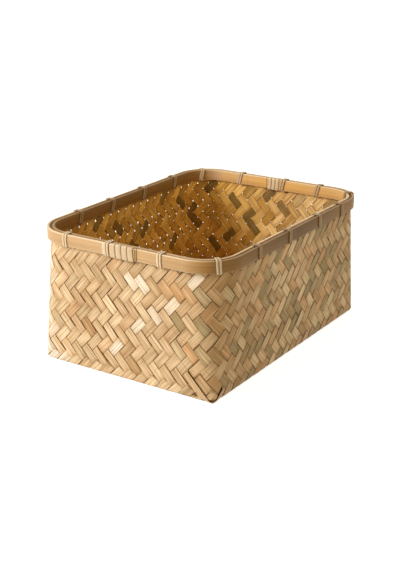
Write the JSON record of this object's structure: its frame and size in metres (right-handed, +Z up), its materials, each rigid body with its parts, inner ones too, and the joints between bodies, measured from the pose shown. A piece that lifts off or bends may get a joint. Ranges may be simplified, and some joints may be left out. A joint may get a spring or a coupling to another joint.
{
  "type": "woven storage basket",
  "caption": "Open rectangular storage basket of plaited bamboo strips, with flat hoops outside and inside its rim, tied on with split lashings.",
  "frame": {"origin": "on the ground under the middle of the basket", "axes": "+X along the long sides, +Y along the short sides, +Z up out of the open top; the outer hoop's bound scarf joint is on the -X end"},
  "size_m": [0.3432, 0.2508, 0.1576],
  "materials": {
    "plaited_bamboo": "flat split bamboo strips, satin, straw to golden, a few olive and brown",
    "hoop_bamboo": "split bamboo, satin, tan with pale edges and fine lengthwise fibres",
    "split_lashing": "thin split strand, satin, pale cream"
  },
  "bodies": {
    "root": {"plaited_body": "plaited_bamboo", "outer_hoop": "hoop_bamboo", "inner_hoop": "hoop_bamboo", "outer_hoop_binding": "split_lashing", "inner_hoop_binding": "split_lashing", "lashing_right_end_1": "split_lashing", "lashing_right_end_2": "split_lashing", "lashing_right_end_3": "split_lashing", "lashing_back_side_1": "split_lashing", "lashing_back_side_2": "split_lashing", "lashing_back_side_3": "split_lashing", "lashing_back_side_4": "split_lashing", "lashing_left_end_1": "split_lashing", "lashing_left_end_2": "split_lashing", "lashing_left_end_3": "split_lashing", "lashing_front_side_1": "split_lashing", "lashing_front_side_2": "split_lashing", "lashing_front_side_3": "split_lashing", "lashing_front_side_4": "split_lashing", "lashing_back_right_corner": "split_lashing", "lashing_front_left_corner": "split_lashing", "lashing_front_right_corner": "split_lashing"}
  },
  "joints": []
}
